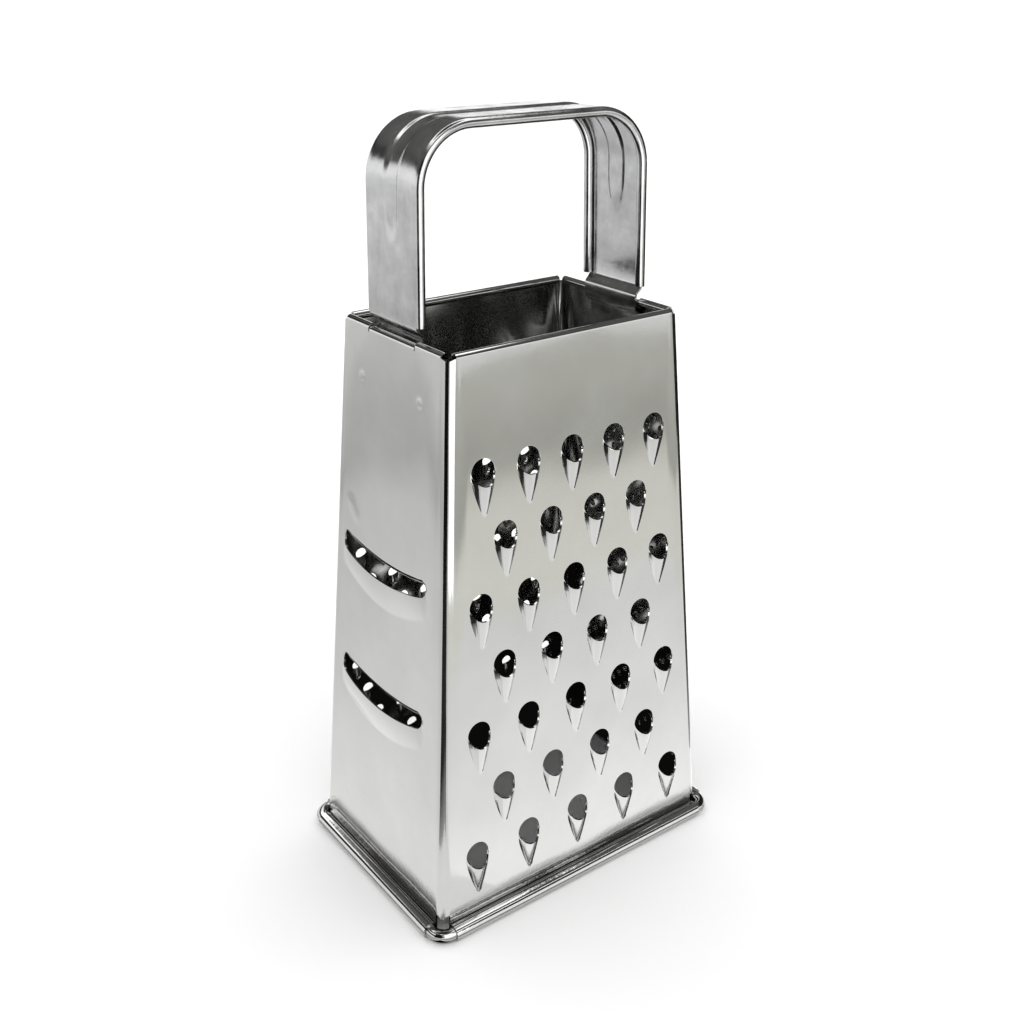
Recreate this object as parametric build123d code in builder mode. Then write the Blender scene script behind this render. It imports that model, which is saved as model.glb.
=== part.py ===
from build123d import *
from math import asin, atan, atan2, cos, degrees, pi, sin
import os

# A four sided box grater in stainless sheet, standing on a wired bottom edge,
# with a strap handle over its open top. All lengths are in millimetres.
# Origin: centre of the footprint, on the surface that the grater stands on.
# +X is along the wide faces, -Y is the coarse face, -X is the slicing face.

# Overall sizes, measured over the outside of the sheet
body_height = 172.5
handle_rise = 56.5
top_width = 80.3
top_depth = 53.9
base_width = 102.3
base_depth = 69.5
sheet = 0.5
bend_radius = 3.0
overrun = 5.0

# Rolled hem round the top edge, in one run on the wide faces and three on the narrow ones
hem_diameter = 2.5
hem_gap = 0.5
hem_sides = 8
notch_radius = 1.9
relief_sides = 8
slit_width = 0.6
slit_spread = 23.4
hem_drop = 0.7

# Wired bottom edge
wire_diameter = 3.6
wire_clearance = 0.05
wire_bend = 4.2
wire_sides = 8
roll_flat = 0.1
roll_sides = 12
roll_seam_angle = 135
corner_cutback = 3.0
tongue_tip = 5.2
tongue_relief = 1.5

# Coarse face: punched holes, each with a raised hood under it
coarse_rows = 7
coarse_columns = 5
coarse_bottom_margin = 23.1
coarse_top_margin = 33.3
coarse_side_margin = 12.1
coarse_radius = 3.75
coarse_lip = 2.2
coarse_hood = 9.4
coarse_sides = 10

# Fine face: small punched holes, each with a pointed lip under it
fine_rows = 13
fine_columns = 9
fine_bottom_margin = 24.6
fine_top_margin = 29.1
fine_side_margin = 13.4
fine_radius = 1.9
fine_lip = 1.5
fine_hood = 4.4
fine_sides = 4

# Rasp face: three sided burrs punched outwards
burr_rows = 22
burr_columns = 5
burr_bottom_margin = 17.0
burr_top_margin = 31.6
burr_side_margin = 8.0
burr_base = 1.8
burr_hole = 1.0
burr_height = 1.7
burr_sides = 3

# Slicing face: two blades over upward curved slots
slot_count = 2
slot_first_height = 61.6
slot_pitch = 40.7
slot_length = 43.0
slot_width = 3.8
slot_rise = 2.1
slot_chords = 8
blade_lift = 2.2
blade_length = 44.0
blade_depth = 10.6
blade_chords = 10

# Spot welds that hold the handle's feet
weld_drop = 15.7
weld_spread = 29.8
weld_radius = 1.8
weld_bump = 0.35
weld_sides = 8
weld_flank = 60

# Handle strap
strap = 0.6
strap_width = 26.6
strap_roll = 2.8
strap_roll_gap = 0.5
strap_roll_sides = 8
strap_corner = 17.3
strap_corner_chords = 6
strap_inset = 0.4
strap_lean = 1.0
strap_rise = 3.8
groove_spread = 5.9
groove_width = 2.5
groove_depth = 0.7
groove_flank_angle = 110
groove_end = 23.5
tab_width = 23.0
tab_clearance = 0.1
tab_rise = 0.7
foot_width = 36.0
foot_length = 22.5
foot_neck = 3.4
foot_step = 2.6
foot_corner = 4.0

# Worked out sizes
hem_radius = hem_diameter / 2
roll_inner = wire_diameter / 2 + wire_clearance
roll_outer = roll_inner + sheet
roll_height = roll_outer - roll_flat
strap_radius = strap_roll / 2
handle_height = body_height + handle_rise
wide_slope = atan2((base_depth - top_depth) / 2, body_height)
narrow_slope = atan2((base_width - top_width) / 2, body_height)


def at_height(height, at_base, at_rim):
    return at_base + (at_rim - at_base) * height / body_height


# One frame per face, on its outside surface: x runs across the face to the right as seen
# from outside, y up the slope and z straight out of the face
def face_frame(across, out, half_base, slope):
    normal = Vector(*out) * cos(slope) + Vector(0, 0, sin(slope))
    return Plane(origin=Vector(*out) * half_base, x_dir=across, z_dir=normal)


coarse_frame = face_frame((1, 0, 0), (0, -1, 0), base_depth / 2, wide_slope)
fine_frame = face_frame((-1, 0, 0), (0, 1, 0), base_depth / 2, wide_slope)
slicer_frame = face_frame((0, -1, 0), (-1, 0, 0), base_width / 2, narrow_slope)
rasp_frame = face_frame((0, 1, 0), (1, 0, 0), base_width / 2, narrow_slope)


def is_wide(frame):
    return abs(frame.z_dir.Y) > abs(frame.z_dir.X)


# The two corners beside a face, as signs along X and Y
def face_corners(frame):
    if is_wide(frame):
        side = 1 if frame.z_dir.Y > 0 else -1
        return (-1, side), (1, side)
    side = 1 if frame.z_dir.X > 0 else -1
    return (side, -1), (side, 1)


# The plane that halves one corner bend, facing the middle of the given face
def corner_plane(side_x, side_y, frame, shift=0):
    foot = Vector(side_x * base_width / 2, side_y * base_depth / 2, 0)
    rim = Vector(side_x * top_width / 2, side_y * top_depth / 2, body_height)
    normal = (rim - foot).cross(Vector(side_x, side_y, 0)).normalized()
    if normal.dot(frame.origin - foot) < 0:
        normal = normal * -1
    return Plane(origin=foot + normal * shift, z_dir=normal)


def half_width(frame, height):
    if is_wide(frame):
        return at_height(height, base_width, top_width) / 2
    return at_height(height, base_depth, top_depth) / 2


# Distance up the face frame's y axis to a point at this height and this far outside the face
def up_slope(frame, height, out=0):
    return (height - out * frame.z_dir.Z) / frame.y_dir.Z


# A plane square to the face and to its rim: x points out of the face, y up the slope
def section_plane(frame, along=0):
    origin = frame.from_local_coords((along, 0, 0))
    return Plane(origin=origin, x_dir=frame.z_dir, z_dir=frame.x_dir * -1)


# The space inside the four faces, this far in from their outside, with rounded bends
def tapered_block(inset):
    with BuildPart() as block:
        Box(2 * base_width, 2 * base_width, 2 * body_height)
        for frame in (coarse_frame, fine_frame, slicer_frame, rasp_frame):
            split(bisect_by=frame.offset(-inset), keep=Keep.BOTTOM)
        corners = edges().filter_by(lambda edge: abs(edge.tangent_at(0).Z) > cos(pi / 4))
        fillet(corners, bend_radius - inset)
    return block.part


outer_block = tapered_block(0)
inner_block = tapered_block(sheet)


# One face of the folded sheet with half of each bend beside it
def folded_sheet(frame):
    with BuildPart() as fold:
        add(outer_block)
        add(inner_block, mode=Mode.SUBTRACT)
        split(bisect_by=Plane.XY.offset(tongue_tip), keep=Keep.TOP)
        split(bisect_by=Plane.XY.offset(body_height - hem_radius), keep=Keep.BOTTOM)
        for side_x, side_y in face_corners(frame):
            split(bisect_by=corner_plane(side_x, side_y, frame), keep=Keep.TOP)
    return fold.part


# The section of a small rolled edge, with flats square to the sheet
def tube_section(radius, wall, sides):
    turn = 90 - 180 / sides
    RegularPolygon(radius, sides, major_radius=False, rotation=turn)
    RegularPolygon(radius - wall, sides, major_radius=False, rotation=turn, mode=Mode.SUBTRACT)


# One run of the hem: the sheet's top edge rolled inwards through three quarters of a turn
def hem_run(frame, left, right, drop=0):
    centre_up = up_slope(frame, body_height - hem_radius - drop, -hem_radius)
    with BuildPart() as run:
        with BuildSketch(section_plane(frame, left)):
            with Locations((-hem_radius, centre_up)):
                tube_section(hem_radius, sheet, hem_sides)
                with Locations((hem_radius, -hem_radius)):
                    Rectangle(hem_diameter, hem_diameter, mode=Mode.SUBTRACT)
            with Locations((-sheet / 2, centre_up - sheet)):
                Rectangle(sheet, 2 * sheet)
        extrude(amount=left - right)
        for side_x, side_y in face_corners(frame):
            split(bisect_by=corner_plane(side_x, side_y, frame, hem_gap / 2), keep=Keep.TOP)
    return run.part


# The bottom edge rolled outwards round the wire, its cut edge tucked against the face
def bottom_roll(frame):
    reach = half_width(frame, 0) - corner_cutback
    centre_up = up_slope(frame, roll_height, roll_inner)
    panel_top = up_slope(frame, 2 * tongue_tip)
    with BuildPart() as roll:
        with BuildSketch(section_plane(frame)):
            with Locations((roll_inner, centre_up)):
                tube_section(roll_outer, sheet, roll_sides)
                with BuildLine():
                    seam = PolarLine((0, 0), 2 * roll_outer, roll_seam_angle)
                    Polyline(seam @ 1, (-2 * roll_outer, 0), (0, 0))
                make_face(mode=Mode.SUBTRACT)
            with Locations((-sheet / 2, (centre_up + panel_top) / 2)):
                Rectangle(sheet, panel_top - centre_up)
        extrude(amount=reach, both=True)
        split(bisect_by=Plane.XY, keep=Keep.TOP)
    return roll.part


# Round reliefs in the bends: one over each at the rim, one each side of its foot
def corner_reliefs(frame):
    with BuildPart() as cuts:
        for side_x, side_y in face_corners(frame):
            rim = Vector(side_x * top_width / 2, side_y * top_depth / 2, body_height)
            with BuildSketch(Plane(origin=rim, z_dir=(side_x, side_y, 0))):
                RegularPolygon(notch_radius, relief_sides, major_radius=False)
            extrude(amount=overrun, both=True)
        reach = half_width(frame, tongue_tip) - corner_cutback + tongue_relief / 2
        foot_up = up_slope(frame, tongue_tip - tongue_relief / 2)
        with BuildSketch(frame):
            with Locations((-reach, foot_up), (reach, foot_up)):
                RegularPolygon(tongue_relief, relief_sides, major_radius=False)
        extrude(amount=bend_radius, both=True)
    return cuts.part


# A face with its bottom roll and the given runs of hem
def plain_wall(frame, hem_runs):
    fold = folded_sheet(frame)
    roll = bottom_roll(frame)
    reliefs = corner_reliefs(frame)
    runs = [hem_run(frame, left, right, drop) for left, right, drop in hem_runs]
    with BuildPart() as wall:
        add(fold)
        add(roll)
        add(runs)
        add(reliefs, mode=Mode.SUBTRACT)
    return wall.part


# A narrow face's hem is slit each side of the handle, and pressed down between the slits
def narrow_wall(frame):
    inner = (slit_spread - slit_width) / 2
    outer = (slit_spread + slit_width) / 2
    slit_up = up_slope(frame, body_height)
    runs = (-base_depth, -outer, 0), (-inner, inner, hem_drop), (outer, base_depth, 0)
    whole = plain_wall(frame, runs)
    with BuildPart() as wall:
        add(whole)
        with BuildSketch(frame):
            with Locations((-slit_spread / 2, slit_up), (slit_spread / 2, slit_up)):
                Rectangle(slit_width, 2 * (hem_diameter + hem_drop))
            with Locations((0, slit_up)):
                Rectangle(slit_spread, 2 * (hem_drop + sheet / 2))
        extrude(amount=sheet * 3 / 2, both=True, mode=Mode.SUBTRACT)
        with BuildSketch(frame):
            weld_up = up_slope(frame, body_height - weld_drop)
            with Locations((-weld_spread / 2, weld_up), (weld_spread / 2, weld_up)):
                RegularPolygon(weld_radius, weld_sides)
        extrude(amount=weld_bump, taper=weld_flank)
    return wall.part


# Places in staggered rows up a face, inside margins that follow the face's taper
def staggered_places(frame, rows, columns, bottom_margin, top_margin, side_margin, odd_change):
    places = []
    rise = (body_height - top_margin - bottom_margin) / (rows - 1)
    for row in range(rows):
        height = bottom_margin + row * rise
        pitch = 2 * (half_width(frame, height) - side_margin) / (columns - 1)
        count = columns + odd_change * (row % 2)
        up = up_slope(frame, height)
        for column in range(count):
            places.append(frame * Pos((column - (count - 1) / 2) * pitch, up, 0))
    return places


# A hood over the lower half of a hole that is centred on its origin: a barrel that lies partly
# under the sheet, straight beside the hole and then narrowing until it sinks into the sheet
def barrel_hood(radius, lip, length, sides, inset=0):
    narrowing = atan(lip / length)
    base = Plane(origin=(0, 0, lip - radius), x_dir=(1, 0, 0), z_dir=(0, -1, 0))
    with BuildPart() as hood:
        with BuildSketch(base):
            RegularPolygon(radius - inset, sides, major_radius=False, rotation=90 - 180 / sides)
        extrude(amount=radius + length)
        for side in range(sides):
            turn = pi / 2 + 2 * pi * side / sides
            outward = base.x_dir * cos(turn) + base.y_dir * sin(turn)
            bend = base.origin + outward * (radius - inset) + base.z_dir * radius
            tilted = outward * cos(narrowing) + base.z_dir * sin(narrowing)
            split(bisect_by=Plane(origin=bend, z_dir=tilted), keep=Keep.BOTTOM)
        if inset == 0:
            split(bisect_by=Plane.XY.offset(-sheet), keep=Keep.TOP)
    return hood.part


# A pointed lip over the lower half of a square hole that is centred on its origin
def pointed_lip(radius, lip, length):
    with BuildPart() as hood:
        with BuildSketch(Plane.XY.offset(-sheet / 2)) as foot:
            Polygon((-radius, 0), (0, -radius - length), (radius, 0), align=None)
        loft([foot.sketch, Vertex(0, -radius / 2, lip)], ruled=True)
    return hood.part


# A punched burr, before its hole: a pyramid standing on the sheet
def burr_pyramid(base, height, sides):
    with BuildPart() as burr:
        with BuildSketch(Plane.XY.offset(-sheet / 2)) as foot:
            RegularPolygon(base, sides)
        loft([foot.sketch, Vertex(0, 0, height)], ruled=True)
    return burr.part


# A slot's middle line: an arc whose ends stand higher than its middle
def slot_line():
    half = (slot_length - slot_width) / 2
    return (-half, slot_rise), (0, 0), (half, slot_rise)


# A slot's opening: its middle line widened to both sides in chords, and pointed at both ends
def slot_opening():
    with BuildPart() as opening:
        with BuildSketch(Plane.XY):
            with BuildLine():
                middle = ThreePointArc(*slot_line(), mode=Mode.PRIVATE)
                upper, lower = [], []
                for step in range(slot_chords + 1):
                    along = middle % (step / slot_chords)
                    aside = Vector(-along.Y, along.X) * (slot_width / 2)
                    upper.append(middle @ (step / slot_chords) + aside)
                    lower.append(middle @ (step / slot_chords) - aside)
                right_tip = middle @ 1 + (middle % 1) * (slot_width / 2)
                left_tip = middle @ 0 - (middle % 0) * (slot_width / 2)
                Polyline(*upper, right_tip, *reversed(lower), left_tip, close=True)
            make_face()
        extrude(amount=overrun, both=True)
    return opening.part


# A blade: the sheet under a slot pressed outwards, as the lower half of a shallow barrel
def raised_blade(inset=0):
    across_radius = ((blade_length / 2) ** 2 + blade_lift**2) / (2 * blade_lift)
    up_radius = (blade_depth**2 + blade_lift**2) / (2 * blade_lift)
    half_turn = 2 * degrees(asin(blade_length / 2 / across_radius))
    spine = Axis((0, 0, blade_lift - across_radius), (0, 1, 0))
    with BuildPart() as barrel:
        with BuildSketch(Plane.YZ):
            with BuildLine():
                bulge = CenterArc((0, blade_lift - up_radius), up_radius - inset, 60, 60, mode=Mode.PRIVATE)
                chords = Polyline(*[bulge @ (step / blade_chords) for step in range(blade_chords + 1)])
                Polyline(chords @ 1, (0, blade_lift - up_radius), chords @ 0)
            make_face()
        revolve(axis=spine, revolution_arc=half_turn)
        mirror(about=Plane.YZ)
    left, low, right = slot_line()
    with BuildPart() as blade:
        add(barrel.part)
        split(bisect_by=Plane.XY.offset(-sheet / 2 - 2 * inset), keep=Keep.TOP)
        with BuildSketch(Plane.XY):
            with BuildLine():
                upper = ThreePointArc(left, low, right)
                Polyline(
                    upper @ 1,
                    (blade_length, slot_rise),
                    (blade_length, blade_length),
                    (-blade_length, blade_length),
                    (-blade_length, slot_rise),
                    upper @ 0,
                )
            make_face()
        extrude(amount=overrun, both=True, mode=Mode.SUBTRACT)
    return blade.part


# Coarse face
coarse_places = staggered_places(
    coarse_frame,
    coarse_rows,
    coarse_columns,
    coarse_bottom_margin,
    coarse_top_margin,
    coarse_side_margin,
    -1,
)
coarse_hoods = barrel_hood(coarse_radius, coarse_lip, coarse_hood, coarse_sides)
coarse_hollows = barrel_hood(coarse_radius, coarse_lip, coarse_hood, coarse_sides, sheet)
coarse_plain = plain_wall(coarse_frame, ((-base_width, base_width, 0),))

with BuildPart() as coarse_wall:
    add(coarse_plain)
    with Locations(*coarse_places):
        add(coarse_hoods)
    with Locations(*coarse_places):
        add(coarse_hollows, mode=Mode.SUBTRACT)
    with BuildSketch(*[Plane(place) for place in coarse_places]):
        RegularPolygon(coarse_radius, coarse_sides, major_radius=False)
    extrude(amount=overrun, both=True, mode=Mode.SUBTRACT)
coarse_wall.part.label = "coarse_wall"

# Fine face
fine_places = staggered_places(
    fine_frame,
    fine_rows,
    fine_columns,
    fine_bottom_margin,
    fine_top_margin,
    fine_side_margin,
    1,
)
fine_lips = pointed_lip(fine_radius, fine_lip, fine_hood)
fine_plain = plain_wall(fine_frame, ((-base_width, base_width, 0),))

with BuildPart() as fine_wall:
    add(fine_plain)
    with Locations(*fine_places):
        add(fine_lips)
    with BuildSketch(*[Plane(place) for place in fine_places]):
        RegularPolygon(fine_radius, fine_sides)
    extrude(amount=overrun, both=True, mode=Mode.SUBTRACT)
fine_wall.part.label = "fine_wall"

# Rasp face
burr_places = staggered_places(
    rasp_frame,
    burr_rows,
    burr_columns,
    burr_bottom_margin,
    burr_top_margin,
    burr_side_margin,
    -1,
)
burrs = burr_pyramid(burr_base, burr_height, burr_sides)
rasp_plain = narrow_wall(rasp_frame)

with BuildPart() as rasp_wall:
    add(rasp_plain)
    with Locations(*burr_places):
        add(burrs)
    with BuildSketch(*[Plane(place) for place in burr_places]):
        RegularPolygon(burr_hole, burr_sides)
    extrude(amount=overrun, both=True, mode=Mode.SUBTRACT)
rasp_wall.part.label = "rasp_wall"

# Slicing face
slot_places = []
for number in range(slot_count):
    slot_up = up_slope(slicer_frame, slot_first_height + number * slot_pitch)
    slot_places.append(slicer_frame * Pos(0, slot_up, 0))
blade = raised_blade()
blade_hollow = raised_blade(sheet)
opening = slot_opening()
slicer_plain = narrow_wall(slicer_frame)

with BuildPart() as slicer_wall:
    add(slicer_plain)
    with Locations(*slot_places):
        add(blade)
    with Locations(*slot_places):
        add(blade_hollow, mode=Mode.SUBTRACT)
    with Locations(*slot_places):
        add(opening, mode=Mode.SUBTRACT)
slicer_wall.part.label = "slicer_wall"

# Wire inside the bottom roll, one closed ring
wire_x = at_height(roll_height, base_width, top_width) / 2 + roll_inner / cos(narrow_slope)
wire_y = at_height(roll_height, base_depth, top_depth) / 2 + roll_inner / cos(wide_slope)
wire_corners = (-wire_x, -wire_y), (wire_x, -wire_y), (wire_x, wire_y), (-wire_x, wire_y)
with BuildLine(Plane.XY.offset(roll_height)) as wire_line:
    FilletPolyline(*wire_corners, radius=wire_bend, close=True)

with BuildPart() as base_wire:
    with BuildSketch(Plane(origin=wire_line.line @ 0, z_dir=wire_line.line % 0)):
        RegularPolygon(wire_diameter / 2, wire_sides)
    sweep(path=wire_line.wire())
base_wire.part.label = "base_wire"


# Distance from the middle to the strap's outside on a leg at this height
def strap_out(height):
    return top_width / 2 - strap_inset - strap_lean * (height - body_height) / handle_rise


# The line of the strap's outside over the top, between two points at this height
def strap_path(start):
    leg = strap_out(start)
    top = strap_out(handle_height)
    corners = (-leg, start), (-top, handle_height), (top, handle_height), (leg, start)
    with BuildLine(Plane.XZ) as smooth:
        FilletPolyline(*corners, radius=strap_corner)
    points = [smooth.wire() @ 0]
    for run in smooth.wire().order_edges():
        chords = strap_corner_chords if run.geom_type == GeomType.CIRCLE else 1
        points += [run @ (chord / chords) for chord in range(1, chords + 1)]
    return Wire.make_polygon(points, close=False)


# The plane square to a strap path at its start: x along Y, y out of the strap
def strap_section(path):
    return Plane(origin=path @ 0, x_dir=(0, 1, 0), z_dir=path % 0)


# The section of a pressed groove, or of the metal behind it with some wall added
def groove_section(wall=0):
    Trapezoid(
        groove_width + wall,
        groove_depth + wall,
        groove_flank_angle,
        rotation=180,
        align=(Align.CENTER, Align.MIN),
    )


strap_start = body_height + strap_rise
strap_line = strap_path(strap_start)
groove_line = strap_path(body_height + groove_end)
groove_back_line = strap_path(body_height + groove_end - strap)
roll_centre = (strap_width - strap_roll) / 2
tab_out = top_width / 2 - hem_diameter / cos(narrow_slope) - tab_clearance
tab_top = body_height + tab_rise
tab_bottom = body_height - hem_drop - hem_diameter - strap / 2
foot_top = tab_bottom - foot_step
foot_bottom = body_height - foot_length


# Distance from the middle to the inside of a narrow face at this height
def narrow_inside(height):
    return at_height(height, base_width, top_width) / 2 - sheet / cos(narrow_slope)


with BuildPart() as leg:
    with BuildSketch(Plane.XZ):
        with BuildLine():
            outside = Polyline(
                (strap_out(strap_start + strap), strap_start + strap),
                (strap_out(strap_start), strap_start),
                (tab_out, tab_top),
                (tab_out, tab_bottom),
                (narrow_inside(foot_top), foot_top),
                (narrow_inside(foot_bottom), foot_bottom),
            )
            offset(amount=strap, side=Side.RIGHT)
        make_face()
    extrude(amount=foot_width / 2, both=True)
    with BuildSketch(Plane.YZ):
        Polygon(
            (-roll_centre, strap_start + strap),
            (-roll_centre, strap_start),
            (-strap_width / 2, strap_start),
            (-tab_width / 2, tab_top),
            (-tab_width / 2, foot_top - foot_neck),
            (-foot_width / 2, foot_top - foot_neck),
            (-foot_width / 2, foot_bottom),
            (foot_width / 2, foot_bottom),
            (foot_width / 2, foot_top - foot_neck),
            (tab_width / 2, foot_top - foot_neck),
            (tab_width / 2, tab_top),
            (strap_width / 2, strap_start),
            (roll_centre, strap_start),
            (roll_centre, strap_start + strap),
            align=None,
        )
        fillet(vertices().group_by(Axis.Y)[0], foot_corner)
    extrude(amount=base_width, mode=Mode.INTERSECT)

with BuildPart() as handle:
    with BuildSketch(strap_section(strap_line)):
        for side in (-1, 1):
            with Locations((side * roll_centre, -strap_radius)):
                tube_section(strap_radius, strap, strap_roll_sides)
            with Locations((side * (roll_centre - strap_radius), -strap - strap_roll_gap / 2)):
                Rectangle(strap_roll, strap_roll_gap, mode=Mode.SUBTRACT)
        with Locations((0, -strap / 2)):
            Rectangle(2 * roll_centre, strap)
    sweep(path=strap_line, transition=Transition.RIGHT)
    with BuildSketch(strap_section(groove_back_line)):
        with Locations((-groove_spread / 2, 0), (groove_spread / 2, 0)):
            groove_section(strap)
    sweep(path=groove_back_line, transition=Transition.RIGHT)
    with BuildSketch(strap_section(groove_line)):
        with Locations((-groove_spread / 2, 0), (groove_spread / 2, 0)):
            groove_section()
    sweep(path=groove_line, transition=Transition.RIGHT, mode=Mode.SUBTRACT)
    add(leg.part)
    add(leg.part.mirror(Plane.YZ))
handle.part.label = "handle"

os.makedirs("parts", exist_ok=True)
for piece in (coarse_wall, fine_wall, rasp_wall, slicer_wall, base_wire, handle):
    export_step(piece.part, f"parts/{piece.part.label}.step")
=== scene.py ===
import bpy
import math
from mathutils import Matrix, Vector


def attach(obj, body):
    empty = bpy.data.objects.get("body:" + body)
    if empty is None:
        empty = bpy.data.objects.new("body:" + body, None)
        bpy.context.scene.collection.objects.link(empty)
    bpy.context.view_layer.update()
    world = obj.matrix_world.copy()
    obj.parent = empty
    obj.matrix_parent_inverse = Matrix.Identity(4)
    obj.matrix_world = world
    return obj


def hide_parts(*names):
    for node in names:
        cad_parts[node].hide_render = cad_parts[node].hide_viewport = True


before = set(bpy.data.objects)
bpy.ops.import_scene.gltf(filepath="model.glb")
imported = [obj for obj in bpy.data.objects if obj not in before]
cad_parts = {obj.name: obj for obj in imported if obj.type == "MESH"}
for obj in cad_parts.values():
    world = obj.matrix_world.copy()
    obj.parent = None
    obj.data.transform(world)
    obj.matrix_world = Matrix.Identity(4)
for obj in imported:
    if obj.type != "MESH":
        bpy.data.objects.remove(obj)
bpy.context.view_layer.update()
print("frame loaded:", sorted(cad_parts))

# Pieces are modelled in millimetres and brought to metres at the end of each
millimetre = 0.001
onPlace = 0.005      # how near a point must be to count as on a line or in a plane
mergeSheet = 0.004
mergeFine = 0.003


# Small helpers

def deselectAll():
    if bpy.context.mode != "OBJECT":
        bpy.ops.object.mode_set(mode="OBJECT")
    bpy.ops.object.select_all(action="DESELECT")


def pickOnly(piece):
    deselectAll()
    piece.select_set(True)
    bpy.context.view_layer.objects.active = piece


def joinPieces(pieces, name):
    deselectAll()
    for piece in pieces:
        piece.select_set(True)
    bpy.context.view_layer.objects.active = pieces[0]
    bpy.ops.object.join()
    pieces[0].name = name
    return pieces[0]


# Selects the edges whose two ends pass a test, and leaves the piece in edit mode
def selectEdges(piece, test):
    pickOnly(piece)
    bpy.ops.object.mode_set(mode="EDIT")
    bpy.ops.mesh.select_mode(type="EDGE")
    bpy.ops.mesh.select_all(action="DESELECT")
    bpy.ops.object.mode_set(mode="OBJECT")
    points = piece.data.vertices
    passed = [test(point.co) for point in points]
    found = 0
    for edge in piece.data.edges:
        if passed[edge.vertices[0]] and passed[edge.vertices[1]]:
            edge.select = True
            found += 1
    bpy.ops.object.mode_set(mode="EDIT")
    return found


# Extrudes the chosen edges and puts the new points by a rule
def growEdges(piece, test, rule):
    selectEdges(piece, test)
    bpy.ops.mesh.extrude_edges_move()
    bpy.ops.object.mode_set(mode="OBJECT")
    for point in piece.data.vertices:
        if point.select:
            point.co = rule(point.co.copy())


# Spins the chosen edges and gives back the numbers of the new points. The tool turns the
# other way round its axis, so the angle changes sign
def spinEdges(piece, test, centre, axis, turn, steps):
    before = len(piece.data.vertices)
    selectEdges(piece, test)
    bpy.ops.mesh.spin(steps=steps, angle=-turn, center=centre, axis=axis)
    bpy.ops.object.mode_set(mode="OBJECT")
    return range(before, len(piece.data.vertices))


# A disc with an open middle, made of rings: the rule puts the point at each angle and ring
def ringPatch(name, count, rings, rule):
    deselectAll()
    bpy.ops.mesh.primitive_circle_add(vertices=count, radius=1)
    patch = bpy.context.object
    patch.name = name
    bpy.ops.object.mode_set(mode="EDIT")
    bpy.ops.mesh.select_mode(type="EDGE")
    bpy.ops.mesh.select_all(action="SELECT")
    for ring in range(1, rings):
        bpy.ops.mesh.extrude_edges_move()
        grown = (ring + 1) / ring
        bpy.ops.transform.resize(value=(grown, grown, grown), center_override=(0, 0, 0))
    bpy.ops.object.mode_set(mode="OBJECT")
    rim = []
    for point in patch.data.vertices:
        ring = round(point.co.length) - 1
        angle = math.atan2(point.co.y, point.co.x) % (2 * math.pi)
        point.co = rule(angle, ring)
        if ring == rings - 1:
            rim.append(point.index)
    patch.vertex_groups.new(name="rim").add(rim, 1, "REPLACE")
    return patch


# A copy of a patch for each place, each with its own mesh
def patchCopies(patch, places):
    copies = []
    for across, up in places:
        copy = patch.copy()
        copy.data = patch.data.copy()
        copy.data.transform(Matrix.Translation((across, up, 0)))
        bpy.context.scene.collection.objects.link(copy)
        copies.append(copy)
    bpy.data.objects.remove(patch)
    return copies


# The point at a share of the way along a line of points
def walkAlong(points, share):
    lengths = [0.0]
    for a, b in zip(points, points[1:]):
        lengths.append(lengths[-1] + (Vector(b) - Vector(a)).length)
    target = share * lengths[-1]
    for step in range(len(points) - 1):
        if target <= lengths[step + 1] or step == len(points) - 2:
            span = max(lengths[step + 1] - lengths[step], 1e-9)
            return Vector(points[step]).lerp(Vector(points[step + 1]), (target - lengths[step]) / span)


def smoothStep(low, high, value):
    share = min(max((value - low) / (high - low), 0), 1)
    return share * share * (3 - 2 * share)


def applyModifiers(piece):
    pickOnly(piece)
    for modifier in list(piece.modifiers):
        bpy.ops.object.modifier_apply(modifier=modifier.name)


# Folded sheet: sizes over its outside

sheet = {
    "height": 172.5,
    "topWide": 80.3,
    "topDeep": 53.9,
    "baseWide": 102.3,
    "baseDeep": 69.5,
    "thickness": 0.5,
    "bendRadius": 3.0,
    "bendSteps": 8,
    "strip": 1.0,        # flat metal beside a bend, so the big faces keep a true flat shade
    "hemRadius": 1.25,
    "hemTurn": 285,
    "hemSteps": 14,
    "notchRadius": 1.9,
    "slitSpread": 23.4,
    "slitWidth": 0.4,
    "slitDepth": 2.2,
    "hemDrop": 0.7,
    "wireHeight": 2.25,
    "rollRadius": 1.85,  # inside of the bottom roll
    "rollTurn": 312,
    "rollSteps": 22,
    "tongueTip": 5.4,
    "tongueTop": 6.6,
    "tongueSide": 6.9,
    "tongueWide": 1.5,
}
wideSlope = math.atan2((sheet["baseDeep"] - sheet["topDeep"]) / 2, sheet["height"])
narrowSlope = math.atan2((sheet["baseWide"] - sheet["topWide"]) / 2, sheet["height"])


# A face's own frame: x to the right as seen from outside, y up the slope, z out of the face
def faceFrame(across, out, halfBase, slope):
    across = Vector(across)
    normal = Vector(out) * math.cos(slope) + Vector((0, 0, math.sin(slope)))
    matrix = Matrix((across, normal.cross(across), normal)).transposed().to_4x4()
    matrix.translation = Vector(out) * halfBase
    return matrix


faces = {
    "coarse": faceFrame((1, 0, 0), (0, -1, 0), sheet["baseDeep"] / 2, wideSlope),
    "fine": faceFrame((-1, 0, 0), (0, 1, 0), sheet["baseDeep"] / 2, wideSlope),
    "slicer": faceFrame((0, -1, 0), (-1, 0, 0), sheet["baseWide"] / 2, narrowSlope),
    "rasp": faceFrame((0, 1, 0), (1, 0, 0), sheet["baseWide"] / 2, narrowSlope),
}
# The face to the right and to the left of each, as seen from outside
neighbours = {
    "coarse": {1: "rasp", -1: "slicer"},
    "fine": {1: "slicer", -1: "rasp"},
    "slicer": {1: "coarse", -1: "fine"},
    "rasp": {1: "fine", -1: "coarse"},
}


def normalOf(name):
    return faces[name].to_3x3() @ Vector((0, 0, 1))


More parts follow.
